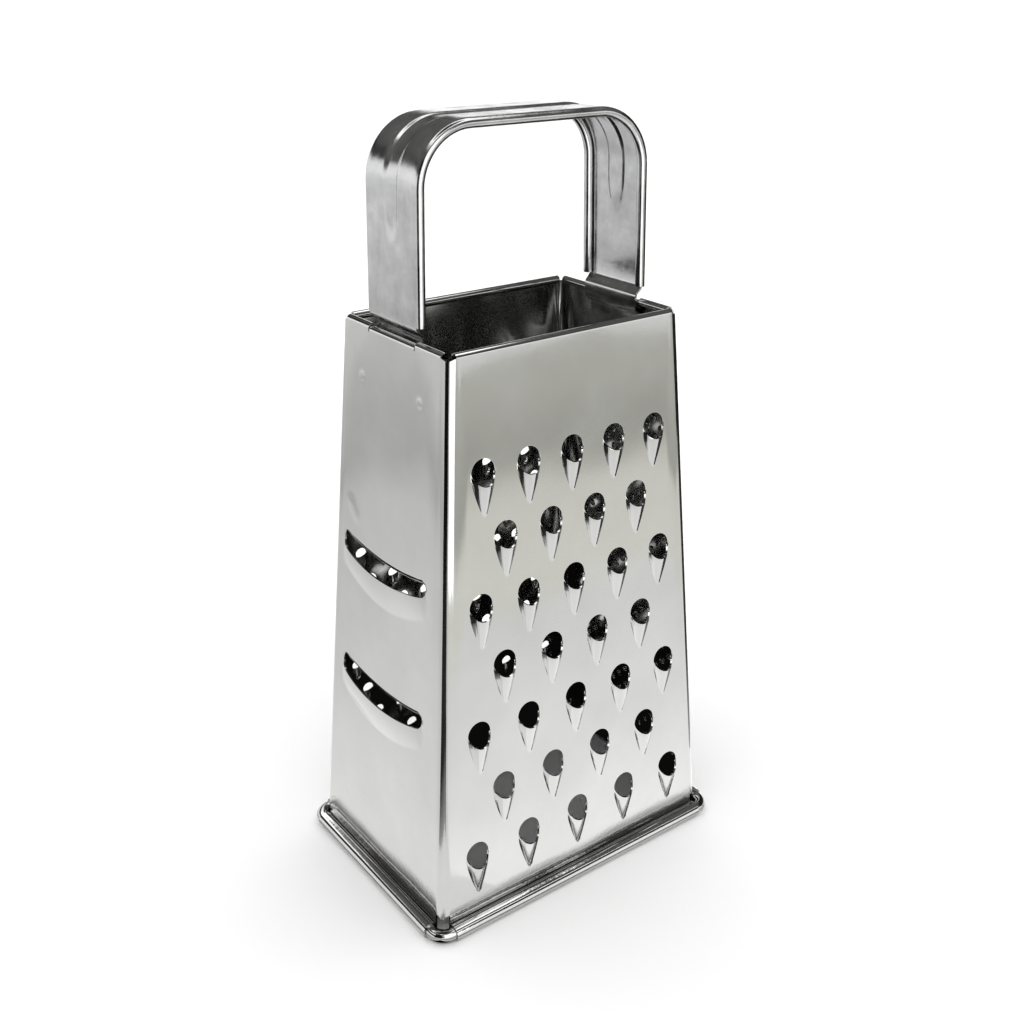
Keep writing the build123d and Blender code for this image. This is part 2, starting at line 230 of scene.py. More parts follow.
def upOf(name):
    return faces[name].to_3x3() @ Vector((0, 1, 0))


# Distance up a face to a height, this far outside of it
def upFace(name, height, out=0):
    return (height - out * normalOf(name).z) / upOf(name).z


# The bend between two faces: a point on its middle axis and the axis's direction, upwards
def bendAxis(first, second):
    one, two = normalOf(first), normalOf(second)
    side = Vector((math.copysign(1, (one + two).x), math.copysign(1, (one + two).y), 0))
    foot = Vector((side.x * sheet["baseWide"] / 2, side.y * sheet["baseDeep"] / 2, 0))
    rim = Vector((side.x * sheet["topWide"] / 2, side.y * sheet["topDeep"] / 2, sheet["height"]))
    centre = foot - (one + two) * sheet["bendRadius"] / (1 + one.dot(two))
    return centre, (rim - foot).normalized()


# Where the flat of a face ends and its bend begins, this far up the face
def bendStart(name, side, up):
    centre, along = bendAxis(name, neighbours[name][side])
    home = faces[name].inverted()
    point = home @ (centre + normalOf(name) * sheet["bendRadius"])
    along = home.to_3x3() @ along
    return point.x + along.x * (up - point.y) / along.y


def faceLevels(name):
    low = upFace(name, sheet["wireHeight"], sheet["rollRadius"])
    foot = upFace(name, sheet["tongueTop"])
    high = upFace(name, sheet["height"] - sheet["hemRadius"], -sheet["hemRadius"])
    return low, foot, high


# The outline of a face's flat part, counterclockwise from its bottom left
def flatOutline(name, slitted):
    low, foot, high = faceLevels(name)
    strip = sheet["strip"]
    right = [(bendStart(name, 1, up) - strip, up) for up in (low, foot, high)]
    top = []
    if slitted:
        near = (sheet["slitSpread"] - sheet["slitWidth"]) / 2
        far = (sheet["slitSpread"] + sheet["slitWidth"]) / 2
        deep = upFace(name, sheet["height"]) - sheet["slitDepth"]
        middle = high - sheet["hemDrop"]
        top = [(far, high), (far, deep), (near, deep), (near, middle)]
    mirrored = [(-across, up) for across, up in reversed(right + top)]
    return right + top + mirrored


def staggeredPlaces(rows):
    places = []
    for row in rows:
        for column in range(row["count"]):
            places.append(((column - (row["count"] - 1) / 2) * row["pitch"], row["up"]))
    return places


# One face in its own frame: its outline and the rims of its patches are filled with flat metal
def flatFace(name, patches, slitted):
    outline = flatOutline(name, slitted)
    deselectAll()
    bpy.ops.mesh.primitive_circle_add(vertices=len(outline), radius=1)
    edge = bpy.context.object
    ordered = sorted(edge.data.vertices, key=lambda point: math.atan2(point.co.y, point.co.x))
    for point, (across, up) in zip(ordered, outline):
        point.co = (across, up, 0)
    edge.vertex_groups.new(name="rim").add(list(range(len(outline))), 1, "REPLACE")
    face = joinPieces([edge] + patches, name + "Face")
    pickOnly(face)
    bpy.ops.object.mode_set(mode="EDIT")
    bpy.ops.mesh.select_mode(type="VERT")
    bpy.ops.mesh.select_all(action="DESELECT")
    face.vertex_groups.active_index = face.vertex_groups["rim"].index
    bpy.ops.object.vertex_group_select()
    bpy.ops.mesh.select_mode(type="EDGE")
    bpy.ops.mesh.fill(use_beauty=True)
    bpy.ops.object.mode_set(mode="OBJECT")
    print(name, "face filled:", len(face.data.polygons), "faces")
    return face


# The flat strips beside the bends, the hem round the rim and the roll round the wire
def edgeFace(face, name, slitted):
    low, foot, high = faceLevels(name)
    for side in (1, -1):
        growEdges(
            face,
            lambda co: abs(co.x - (bendStart(name, side, co.y) - side * sheet["strip"])) < 2 * onPlace,
            lambda co: Vector((bendStart(name, side, co.y), co.y, 0)),
        )
    radius = sheet["hemRadius"]
    turn = math.radians(sheet["hemTurn"])
    levels = [high, high - sheet["hemDrop"]] if slitted else [high]
    for level in levels:
        spinEdges(
            face,
            lambda co: abs(co.y - level) < onPlace and abs(co.z) < onPlace,
            (0, level, -radius), (1, 0, 0), -turn, sheet["hemSteps"],
        )
    spinEdges(
        face,
        lambda co: abs(co.y - low) < onPlace and abs(co.z) < onPlace,
        (0, low, sheet["rollRadius"]), (1, 0, 0), -math.radians(sheet["rollTurn"]), sheet["rollSteps"],
    )


# Bends from a wide face to its neighbours, notched at the rim and ending in a tongue
def bendFace(face, name):
    foot, high = faceLevels(name)[1:]
    radius = sheet["bendRadius"]
    home = faces[name].inverted()
    for side in (1, -1):
        other = neighbours[name][side]
        centre, along = bendAxis(name, other)
        one, two = normalOf(name), normalOf(other)
        turn = one.angle(two)
        axis = one.cross(two).normalized()
        new = spinEdges(
            face,
            lambda co: (abs(co.x - bendStart(name, side, co.y)) < onPlace and abs(co.z) < onPlace
                        and foot - 2 * onPlace < co.y < high + 2 * onPlace),
            home @ centre, home.to_3x3() @ axis, turn, sheet["bendSteps"],
        )
        otherFoot, otherHigh = faceLevels(other)[1:]
        for index in new:
            point = face.data.vertices[index]
            place = faces[name] @ point.co
            spoke = (place - centre) - along * (place - centre).dot(along)
            share = spoke.angle(one) / turn
            off = abs(math.sin((share - 0.5) * turn)) * radius
            if place.z > sheet["height"] / 2:
                notch = math.sqrt(max(sheet["notchRadius"] ** 2 - off ** 2, 0))
                height = min(sheet["height"] - notch, (faces[name] @ Vector((0, high, 0))).z)
                if share > 0.99:
                    height = (faces[other] @ Vector((0, otherHigh, 0))).z
            else:
                bow = smoothStep(0, sheet["tongueWide"], off)
                height = sheet["tongueTip"] + (sheet["tongueSide"] - sheet["tongueTip"]) * bow
                if share > 0.99:
                    height = (faces[other] @ Vector((0, otherFoot, 0))).z
            place = place + along * ((height - place.z) / along.z)
            point.co = home @ place


# Coarse face: 32 hooded holes

coarse = {
    "rows": 7,
    "topHeight": 139.2,
    "rise": 19.35,
    "topPitch": 15.17,
    "pitchGrowth": 0.585,
    "radius": 3.75,
    "lip": 2.2,
    "hood": 9.4,
    "points": 48,
    "shares": (0, 0.1, 0.27, 0.46, 0.65, 0.82, 0.94, 1),
    "beyond": (0.3, 0.7),
}


# A hood's shape as shares of its hole's radius
hoodShape = {
    "foot": 1.07,       # the foot stands a little outside of the hole
    "shoulders": ((1.02, -0.42), (0.955, -1)),
    "tip": 0.2,
    "bulge": 0.05,
    "arc": 0.91,        # share of a half round that the hood's section takes
    "burr": (0.14, 0.02),
}


# Half outline of a hood's foot, from beside the hole down to a narrow blunt tip
def hoodFoot(radius, hood):
    tipWidth = radius * hoodShape["tip"]
    line = [(radius * hoodShape["foot"], 0)]
    line += [(radius * wide, radius * up) for wide, up in hoodShape["shoulders"]]
    start, end = Vector(line[-1]), Vector((tipWidth, -radius - hood + tipWidth))
    for step in range(1, 13):
        share = step / 12
        bulge = radius * hoodShape["bulge"] * math.sin(math.pi * share)
        line.append((start.x + (end.x - start.x) * share + bulge, start.y + (end.y - start.y) * share))
    for step in range(1, 7):
        angle = math.pi / 2 * step / 6
        line.append((tipWidth * math.cos(angle), end.y - tipWidth * math.sin(angle)))
    return line


def hoodWidth(line, up):
    for (wide, high), (narrow, low) in zip(line, line[1:]):
        if high >= up >= low:
            return wide + (narrow - wide) * (high - up) / max(high - low, 1e-9)
    return line[0][0] if up > 0 else line[-1][0]


def toothRule(tooth):
    radius = tooth["radius"]
    line = hoodFoot(radius, tooth["hood"])
    sill = math.sqrt(1 - hoodShape["arc"] ** 2)

    def height(across, up):
        drop = min(max((-up - radius) / tooth["hood"], 0), 1)
        ridge = tooth["lip"] * (1 - drop)
        wide = max(hoodWidth(line, up), 0.01)
        spread = min(abs(across) / wide, 1)
        barrel = (math.sqrt(1 - (hoodShape["arc"] * spread) ** 2) - sill) / (1 - sill)
        return max(ridge * barrel * smoothStep(0, radius * 0.5, -up), 0)

    def rule(angle, ring):
        inner = len(tooth["shares"])
        side = 1 if math.cos(angle) >= 0 else -1
        hole = Vector((radius * math.cos(angle), radius * math.sin(angle)))
        if math.sin(angle) >= -1e-6:
            foot = hole * hoodShape["foot"]
            out = hole.normalized()
        else:
            share = math.asin(min(-math.sin(angle), 1)) / (math.pi / 2)
            foot = walkAlong(line, share)
            before, after = walkAlong(line, max(share - 0.03, 0)), walkAlong(line, min(share + 0.03, 1))
            run = (after - before).normalized()
            atTip = share > 0.999
            out = Vector((0, -1)) if atTip else Vector((-run.y, run.x))
            foot = Vector((foot.x * side, foot.y))
            out = Vector((out.x * side, out.y))
        if ring < inner:
            place = hole.lerp(foot, tooth["shares"][ring])
            rise = height(place.x, place.y)
            upper = smoothStep(-0.2, 0.1, math.sin(angle))
            if ring < len(hoodShape["burr"]):
                rise -= hoodShape["burr"][ring] * upper
            return (place.x, place.y, rise)
        place = foot + out * tooth["beyond"][ring - inner]
        return (place.x, place.y, 0)

    return rule


def hoodedPatch(name, tooth):
    rings = len(tooth["shares"]) + len(tooth["beyond"])
    return ringPatch(name, tooth["points"], rings, toothRule(tooth))


coarseRows = []
for row in range(coarse["rows"]):
    coarseRows.append({
        "count": 5 - row % 2,
        "pitch": coarse["topPitch"] + coarse["pitchGrowth"] * row,
        "up": upFace("coarse", coarse["topHeight"] - coarse["rise"] * row),
    })
coarseTeeth = patchCopies(hoodedPatch("coarseTooth", coarse), staggeredPlaces(coarseRows))
coarseFace = flatFace("coarse", coarseTeeth, False)
edgeFace(coarseFace, "coarse", False)
bendFace(coarseFace, "coarse")
print("coarse teeth:", len(coarseTeeth))

# Fine face: small holes, each with a pointed lip

fine = {
    "rows": 13,
    "firstHeight": 24.6,
    "rise": 9.91,
    "lowPitch": 8.8,
    "pitchShrink": 0.12,
    "radius": 1.9,
    "lip": 1.25,
    "hood": 4.5,
    "points": 12,
    "shares": (0, 0.5, 1),
    "beyond": (0.3,),
}
fineRows = []
for row in range(fine["rows"]):
    fineRows.append({
        "count": 9 + row % 2,
        "pitch": fine["lowPitch"] - fine["pitchShrink"] * row,
        "up": upFace("fine", fine["firstHeight"] + fine["rise"] * row),
    })
fineTeeth = patchCopies(hoodedPatch("fineTooth", fine), staggeredPlaces(fineRows))
fineFace = flatFace("fine", fineTeeth, False)
edgeFace(fineFace, "fine", False)
bendFace(fineFace, "fine")
print("fine teeth:", len(fineTeeth))

# Rasp face: small burrs, and the weld marks that both narrow faces have

rasp = {
    "rows": 42,
    "firstHeight": 16.5,
    "rise": 3.05,
    "columns": 8,
    "lowPitch": 6.6,
    "highPitch": 5.4,
    "points": 8,
    "radii": (0.6, 0.95, 1.45),
    "heights": (1.25, 0.55, 0),
    "jag": 0.25,
}
weld = {
    "height": 156.8,
    "spread": 29.8,
    "points": 16,
    "radii": (0.4, 0.8, 1.15, 1.45, 1.75, 2.2, 3.2),
    "heights": (0.2, 0.18, 0.13, 0.07, 0.02, -0.01, 0),
}


def raspRule(angle, ring):
    radius = rasp["radii"][ring]
    point = round(angle / (2 * math.pi) * rasp["points"])
    jag = rasp["jag"] * (-1) ** point if ring == 0 else 0
    return (radius * math.cos(angle), radius * math.sin(angle), rasp["heights"][ring] + jag)


def weldRule(angle, ring):
    radius = weld["radii"][ring]
    return (radius * math.cos(angle), radius * math.sin(angle), weld["heights"][ring])


def weldPatches(name):
    patch = ringPatch("weldMark", weld["points"], len(weld["radii"]), weldRule)
    selectEdges(patch, lambda co: co.length < 0.7)
    bpy.ops.mesh.edge_face_add()
    bpy.ops.object.mode_set(mode="OBJECT")
    up = upFace(name, weld["height"])
    return patchCopies(patch, [(-weld["spread"] / 2, up), (weld["spread"] / 2, up)])


raspRows = []
for row in range(rasp["rows"]):
    share = row / (rasp["rows"] - 1)
    raspRows.append({
        "count": rasp["columns"] - row % 2,
        "pitch": rasp["lowPitch"] + (rasp["highPitch"] - rasp["lowPitch"]) * share,
        "up": upFace("rasp", rasp["firstHeight"] + rasp["rise"] * row),
    })
raspBurrs = patchCopies(ringPatch("raspBurr", rasp["points"], 3, raspRule), staggeredPlaces(raspRows))
raspFace = flatFace("rasp", raspBurrs + weldPatches("rasp"), True)
edgeFace(raspFace, "rasp", True)
print("rasp burrs:", len(raspBurrs))

# Slicing face: two raised blades under upward curved slots

slicer = {
    "heights": (61.6, 102.3),
    "shift": -1.5,         # the slots stand a little towards the back edge
    "half": 20.1,
    "rise": 2.1,
    "width": 4.2,
    "lift": 2.2,
    "crease": -11.9,
    "creaseRise": 6.4,
    "creaseWiden": 1.05,
    "points": 72,
    "shares": (0, 0.07, 0.2, 0.38, 0.56, 0.74, 0.9, 1),
    "beyond": (0.3, 0.7),
    "collar": 1.2,         # how far the pressed rim reaches round the slot
    "press": 0.45,
    "corner": ((0.62, 1.32), (0.8, 1.34)),   # the pointed left end, as shares of half the width
    # the outline starts at the top of the right end, so a quarter of the end is stepped back
    "turnBack": 0.028,
}


# The slot's edge, counterclockwise from its right end
def slotOutline():
    half, wide = slicer["half"], slicer["width"] / 2
    line = []
    for step in range(41):
        across = half * math.cos(math.pi * step / 40)
        line.append((across, slicer["rise"] * (across / half) ** 2 + wide))
    # the left end runs out to a point at its top and is round below
    for out, up in slicer["corner"]:
        line.append((-half - wide * out, slicer["rise"] + wide * up))
    for step in range(1, 9):
        angle = math.pi * (1 - 0.05 + 0.5 * step / 8)
        line.append((-half + wide * math.cos(angle), slicer["rise"] + wide * math.sin(angle)))
    for step in range(41):
        across = -half * math.cos(math.pi * step / 40)
        line.append((across, slicer["rise"] * (across / half) ** 2 - wide))
    for step in range(1, 12):
        angle = -math.pi / 2 + math.pi * step / 12
        line.append((half + wide * math.cos(angle), slicer["rise"] + wide * math.sin(angle)))
    line.append(line[0])
    return line


slotLine = slotOutline()


def slotRule(angle, ring):
    inner = len(slicer["shares"])
    half = slicer["half"] + slicer["width"] / 2
    share = (angle / (2 * math.pi) - slicer["turnBack"]) % 1
    edge = walkAlong(slotLine, share)
    before, after = walkAlong(slotLine, (share - 0.004) % 1), walkAlong(slotLine, (share + 0.004) % 1)
    run = (after - before).normalized()
    out = Vector((run.y, -run.x))
    middle = max(1 - (edge.x / half) ** 2, 0)
    lower = smoothStep(0.05, 0.6, -out.y)
    foot = edge + out * slicer["collar"]
    creaseUp = slicer["crease"] + slicer["creaseRise"] * (edge.x / half) ** 2
    crease = Vector((edge.x * slicer["creaseWiden"], creaseUp))
    foot = foot.lerp(crease, lower)
    lift = slicer["lift"] * middle ** 0.6 * lower
    press = -slicer["press"] * (1 - lower) * smoothStep(0, 0.5, out.y)
    if ring < inner:
        part = slicer["shares"][ring]
        place = edge.lerp(foot, part)
        rise = lift * math.cos(part * math.pi / 2) + press * (1 - smoothStep(0, 1, part))
        return (place.x, place.y, rise)
    away = (foot - edge).normalized()
    place = foot + away * slicer["beyond"][ring - inner]
    return (place.x, place.y, 0)


# A soft fold that the press leaves above the upper slot: a low slanting ridge that dies out
fold = {
    "centre": (-18.4, 115.3),   # across the face and as a height
    "half": (6.2, 6.3),
    "points": 40,
    "rings": 10,
    "lean": 48,
    "height": 0.34,
    "width": 2.0,
}


def foldRule(angle, ring):
    reach = (ring + 0.4) / (fold["rings"] - 0.6)
    across = fold["half"][0] * reach * math.cos(angle)
    up = fold["half"][1] * reach * math.sin(angle)
    lean = math.radians(fold["lean"])
    off = across * math.sin(lean) + up * math.cos(lean)
    ridge = fold["height"] * math.exp(-((off / fold["width"]) ** 2))
    return (across, up, ridge * (1 - smoothStep(0.35, 0.95, reach)))


foldPatch = ringPatch("softFold", fold["points"], fold["rings"], foldRule)
selectEdges(foldPatch, lambda co: math.hypot(co.x / fold["half"][0], co.y / fold["half"][1]) < 0.06)
bpy.ops.mesh.edge_face_add()
bpy.ops.object.mode_set(mode="OBJECT")
foldPlace = (fold["centre"][0], upFace("slicer", fold["centre"][1]))
slotRings = len(slicer["shares"]) + len(slicer["beyond"])
slotPatch = ringPatch("slotAndBlade", slicer["points"], slotRings, slotRule)
slotPlaces = [(slicer["shift"], upFace("slicer", height)) for height in slicer["heights"]]
slots = patchCopies(slotPatch, slotPlaces)
folds = patchCopies(foldPatch, [foldPlace])
slicerFace = flatFace("slicer", slots + folds + weldPatches("slicer"), True)
edgeFace(slicerFace, "slicer", True)
print("slots:", len(slotPlaces))


# The four faces become one folded sheet

for name, face in (
    ("coarse", coarseFace), ("fine", fineFace), ("slicer", slicerFace), ("rasp", raspFace),
):
    face.data.transform(faces[name])
body = joinPieces([coarseFace, fineFace, slicerFace, raspFace], "foldedSheet")
pickOnly(body)
bpy.ops.object.mode_set(mode="EDIT")
bpy.ops.mesh.select_all(action="SELECT")
bpy.ops.mesh.remove_doubles(threshold=mergeSheet)
bpy.ops.mesh.normals_make_consistent(inside=False)
bpy.ops.object.mode_set(mode="OBJECT")
# the big flat faces must look outwards before the sheet gets its thickness
flat = max(body.data.polygons, key=lambda polygon: polygon.area)
if flat.normal.dot(flat.center - Vector((0, 0, flat.center.z))) < 0:
    bpy.ops.object.mode_set(mode="EDIT")
    bpy.ops.mesh.select_all(action="SELECT")
    bpy.ops.mesh.flip_normals()
    bpy.ops.object.mode_set(mode="OBJECT")
thickness = body.modifiers.new("thickness", "SOLIDIFY")
thickness.thickness = sheet["thickness"]
thickness.offset = -1
thickness.use_rim = True
applyModifiers(body)
for point in body.data.vertices:
    point.co.z = max(point.co.z, 0)   # the roll is pressed flat where it stands
body.data.transform(Matrix.Scale(millimetre, 4))
pickOnly(body)
bpy.ops.object.shade_smooth_by_angle(angle=math.radians(38))
print("folded sheet:", len(body.data.polygons), "faces")

# Wire ring in the bottom roll

wire = {
    "radius": 1.8,
    "height": 2.25,
    "halfWide": 52.86,
    "halfDeep": 36.5,
    "bend": 4.2,
    "points": 24,
    "steps": 12,
}
deselectAll()
bpy.ops.mesh.primitive_circle_add(
    vertices=wire["points"], radius=wire["radius"],
    location=(0, -wire["halfDeep"], wire["height"]), rotation=(0, math.radians(90), 0),
)
wireRing = bpy.context.object
wireRing.name = "baseWire"
bpy.ops.object.transform_apply(location=True, rotation=True, scale=True)
bpy.ops.object.mode_set(mode="EDIT")
bpy.ops.mesh.select_mode(type="EDGE")
bpy.ops.mesh.select_all(action="SELECT")
wide, deep = wire["halfWide"] - wire["bend"], wire["halfDeep"] - wire["bend"]
for run, centre in (
    ((wide, 0, 0), (wide, -deep, 0)), ((0, 2 * deep, 0), (wide, deep, 0)),
    ((-2 * wide, 0, 0), (-wide, deep, 0)), ((0, -2 * deep, 0), (-wide, -deep, 0)), ((wide, 0, 0), None),
):
    bpy.ops.mesh.extrude_edges_move(TRANSFORM_OT_translate={"value": run})
    if centre:
        bpy.ops.mesh.spin(steps=wire["steps"], angle=math.radians(-90), center=centre, axis=(0, 0, 1))
bpy.ops.mesh.select_all(action="SELECT")
bpy.ops.mesh.remove_doubles(threshold=0.01)
bpy.ops.mesh.normals_make_consistent(inside=False)
bpy.ops.object.mode_set(mode="OBJECT")
wireRing.data.transform(Matrix.Scale(millimetre, 4))
pickOnly(wireRing)
bpy.ops.object.shade_smooth_by_angle(angle=math.radians(50))
print("wire ring:", len(wireRing.data.polygons), "faces")

# Strap handle: rolled edges, two pressed grooves, a joggle past the hem and a foot

strap = {
    "thickness": 0.6,
    "width": 26.6,
    "rollRadius": 1.4,
    "rollTurn": 285,
    "rollSteps": 14,
    "corner": 17.3,
    "cornerSteps": 20,
    "top": 229.0,
    "rimHalf": 39.75,
    "lean": 1.0 / 56.5,
    "start": 176.3,
    "grooveFloor": 2.2,   # half width of the groove's floor and of its mouth
    "grooveMouth": 3.9,
    "grooveDepth": 0.5,
    "grooveEnd": 196.0,
    "clear": 0.002,       # between the foot and the face that it is welded to
}


# How far the groove is pressed in at a place across the strap and at a height on its leg
def grooveShape(across, height):
    off = math.hypot(across, max(strap["grooveEnd"] + 3 * strap["grooveMouth"] - height, 0) / 3)
    return 1 - smoothStep(strap["grooveFloor"], strap["grooveMouth"], off)


middle = strap["width"] / 2 - strap["rollRadius"]
strapFlat = [0, 0.7, 1.4, 2.0, 2.3, 2.6, 2.9, 3.2, 3.5, 3.8, 4.0, 4.5, 5.6, 8, 10.6, middle]
strapHalf = [(across, 0, True) for across in strapFlat]
for step in range(1, strap["rollSteps"] + 1):
    angle = math.radians(90 - strap["rollTurn"] * step / strap["rollSteps"])
    radius = strap["rollRadius"]
    strapHalf.append((middle + radius * math.cos(angle), radius * math.sin(angle) - radius, False))
strapSection = [(-across, out, flat) for across, out, flat in reversed(strapHalf[1:])] + strapHalf

# Stations up one leg, round its corner and on to the middle of the top
lean = math.atan(strap["lean"])
topHalf = strap["rimHalf"] - strap["lean"] * (strap["top"] - sheet["height"])
swing = math.pi / 2 - lean
cut = strap["corner"] * math.tan(swing / 2)
cornerFoot = Vector((topHalf + cut * math.sin(lean), strap["top"] - cut * math.cos(lean)))
cornerCentre = cornerFoot - Vector((math.cos(lean), math.sin(lean))) * strap["corner"]
legHeights = (
    strap["start"], 181, 186, 191, 195.5, 196.6, 197.6, 198.6,
    199.6, 200.6, 201.6, 202.6, 203.8, 205.4, 207.2, 209,
)
strapStations = []
for height in legHeights:
    strapStations.append((
        Vector((strap["rimHalf"] - strap["lean"] * (height - sheet["height"]), height)),
        Vector((math.cos(lean), math.sin(lean))),
        height,
    ))
for step in range(strap["cornerSteps"] + 1):
    angle = lean + swing * step / strap["cornerSteps"]
    out = Vector((math.cos(angle), math.sin(angle)))
    strapStations.append((cornerCentre + out * strap["corner"], out, strap["top"]))
for across in (15, 10, 5, 0):
    strapStations.append((Vector((across, strap["top"])), Vector((0, 1)), strap["top"]))


# A grid whose columns run across the strap and whose rows run along it
def strapGrid(name, columns, rows, rule):
    deselectAll()
    bpy.ops.mesh.primitive_grid_add(x_subdivisions=columns - 1, y_subdivisions=rows - 1, size=2)
    grid = bpy.context.object
    grid.name = name
    for point in grid.data.vertices:
        column = round((point.co.x + 1) / 2 * (columns - 1))
        row = round((point.co.y + 1) / 2 * (rows - 1))
        point.co = rule(column, row)
    return grid


def strapRule(column, row):
    across, out, flat = strapSection[column]
    point, outward, height = strapStations[row]
    if flat:
        out = -strap["grooveDepth"] * grooveShape(across, height)
    place = point + outward * out
    return (place.x, across, place.y)


hoop = strapGrid("strap", len(strapSection), len(strapStations), strapRule)

# Below the hoop: a narrow tab inside the hem, and a wide foot flat on the inside of the face
tabFlat = [-across for across in reversed(strapFlat[1:])] + strapFlat
rim = strap["rimHalf"] - strap["lean"] * (strap["start"] - sheet["height"])


def insideFace(height):
    lean = (sheet["baseWide"] - sheet["topWide"]) / 2 * height / sheet["height"]
    return sheet["baseWide"] / 2 - lean - sheet["thickness"] - strap["clear"]


tabStations = (
    (rim, strap["start"], middle),
    (rim - 0.25, 175.6, 11.85),
    (rim - 1.0, 174.6, 11.75),
    (37.75, 173.7, 11.65),
    (37.55, 173.0, 11.55),
    (37.55, 169.4, 11.5),
    (37.75, 168.8, 11.5),
    (insideFace(167.2) - 0.3, 167.6, 11.5),
    (insideFace(166.6), 166.6, 11.5),
    (insideFace(163.6), 163.6, 11.5),
    (insideFace(163.3), 163.3, 17.4),
    (insideFace(162.6), 162.6, 18.0),
    (insideFace(154.0), 154.0, 18.0),
    (insideFace(151.2), 151.2, 17.2),
    (insideFace(150.2), 150.2, 15.4),
    (insideFace(150.0), 150.0, 14.0),
)


def tabRule(column, row):
    out, height, half = tabStations[row]
    return (out, tabFlat[column] / middle * half, height)


foot = strapGrid("strapFoot", len(tabFlat), len(tabStations), tabRule)
handle = joinPieces([hoop, foot], "strapHandle")
pickOnly(handle)
bpy.ops.object.mode_set(mode="EDIT")
bpy.ops.mesh.select_all(action="SELECT")
bpy.ops.mesh.remove_doubles(threshold=mergeFine)
bpy.ops.mesh.normals_make_consistent(inside=False)
bpy.ops.object.mode_set(mode="OBJECT")
mirrored = handle.modifiers.new("otherHalf", "MIRROR")
mirrored.use_axis = (True, False, False)
mirrored.merge_threshold = mergeFine
applyModifiers(handle)
pickOnly(handle)
bpy.ops.object.mode_set(mode="EDIT")
bpy.ops.mesh.select_all(action="SELECT")
bpy.ops.mesh.normals_make_consistent(inside=False)
bpy.ops.object.mode_set(mode="OBJECT")
topFace = max(handle.data.polygons, key=lambda polygon: polygon.center.z)
if topFace.normal.z < 0:
    bpy.ops.object.mode_set(mode="EDIT")
    bpy.ops.mesh.select_all(action="SELECT")
    bpy.ops.mesh.flip_normals()
    bpy.ops.object.mode_set(mode="OBJECT")
thickness = handle.modifiers.new("thickness", "SOLIDIFY")
thickness.thickness = strap["thickness"]
thickness.offset = -1
applyModifiers(handle)
handle.data.transform(Matrix.Scale(millimetre, 4))
pickOnly(handle)
bpy.ops.object.shade_smooth_by_angle(angle=math.radians(38))
print("strap handle:", len(handle.data.polygons), "faces")


# Materials

# sRGB hex to linear
def colour(hexText):
    values = []
    for place in (0, 2, 4):
        value = int(hexText[place:place + 2], 16) / 255
        values.append(value / 12.92 if value <= 0.04045 else ((value + 0.055) / 1.055) ** 2.4)
    return (*values, 1)


# Adds a node with its settings, and links the given outputs to its inputs
def addNode(tree, kind, settings, links=()):
    node = tree.nodes.new(kind)
    for name, value in settings.items():
        if hasattr(node, name):
            setattr(node, name, value)
        else:
            node.inputs[name].default_value = value
    for source, output, target in links:
        tree.links.new(source.outputs[output], node.inputs[target])
    return node


def newMaterial(name):
    material = bpy.data.materials.new(name)
    material.use_nodes = True
    material.node_tree.nodes.clear()
    return material, material.node_tree


# Cold rolled stainless with a bright annealed finish: a soft mirror, uneven over a few
# centimetres, with orange peel that is strongest near the base, a faint grain and dull smudges
def rolledStainless(name, settings):
    material, tree = newMaterial(name)
    place = addNode(tree, "ShaderNodeTexCoord", {})
    waves = addNode(
        tree, "ShaderNodeTexNoise",
        {"Scale": 1000 / settings["waveSize"], "Detail": 1.0, "Roughness": 0.4},
        [(place, "Object", "Vector")],
    )
    peel = addNode(
        tree, "ShaderNodeTexNoise",
        {"Scale": 1000 / settings["peelSize"], "Detail": 2.0, "Roughness": 0.5},
        [(place, "Object", "Vector")],
    )
    stretched = addNode(
        tree, "ShaderNodeMapping", {"Scale": settings["grainStretch"]}, [(place, "Object", "Vector")],
    )
    grain = addNode(
        tree, "ShaderNodeTexNoise",
        {"Scale": 1000 / settings["grainSize"], "Detail": 3.0, "Roughness": 0.6},
        [(stretched, "Vector", "Vector")],
    )
    smudge = addNode(
        tree, "ShaderNodeTexNoise",
        {"Scale": 1000 / settings["smudgeSize"], "Detail": 4.0, "Roughness": 0.6},
        [(place, "Object", "Vector")],
    )
    dull = addNode(
        tree, "ShaderNodeMapRange",
        {"From Min": 0.35, "From Max": 0.75,
         "To Min": settings["roughLow"], "To Max": settings["roughHigh"]},
        [(smudge, "Fac", "Value")],
    )
    tone = addNode(tree, "ShaderNodeValToRGB", {}, [(smudge, "Fac", "Fac")])
    dark, light = tone.color_ramp.elements
    dark.position, dark.color = 0.3, colour(settings["darkTone"])
    light.position, light.color = 0.7, colour(settings["lightTone"])
    wavy = addNode(
        tree, "ShaderNodeBump", {"Strength": 1.0, "Distance": settings["waveDepth"] * millimetre},
        [(waves, "Fac", "Height")],
    )
    heights = addNode(tree, "ShaderNodeSeparateXYZ", {}, [(place, "Object", "Vector")])
    fading = addNode(
        tree, "ShaderNodeMapRange",
        {"From Min": 0.0, "From Max": settings["peelTop"] * millimetre, "To Min": 1.0, "To Max": 0.15},
        [(heights, "Z", "Value")],
    )
    peeled = addNode(
        tree, "ShaderNodeBump", {"Strength": 1.0, "Distance": settings["peelDepth"] * millimetre},
        [(peel, "Fac", "Height"), (fading, "Result", "Strength"), (wavy, "Normal", "Normal")],
    )
    grained = addNode(
        tree, "ShaderNodeBump", {"Strength": 1.0, "Distance": settings["grainDepth"] * millimetre},
        [(grain, "Fac", "Height"), (peeled, "Normal", "Normal")],
    )
    metal = addNode(
        tree, "ShaderNodeBsdfPrincipled", {"Metallic": 1.0},
        [(tone, "Color", "Base Color"), (dull, "Result", "Roughness"), (grained, "Normal", "Normal")],
    )
    addNode(tree, "ShaderNodeOutputMaterial", {}, [(metal, "BSDF", "Surface")])
    return material


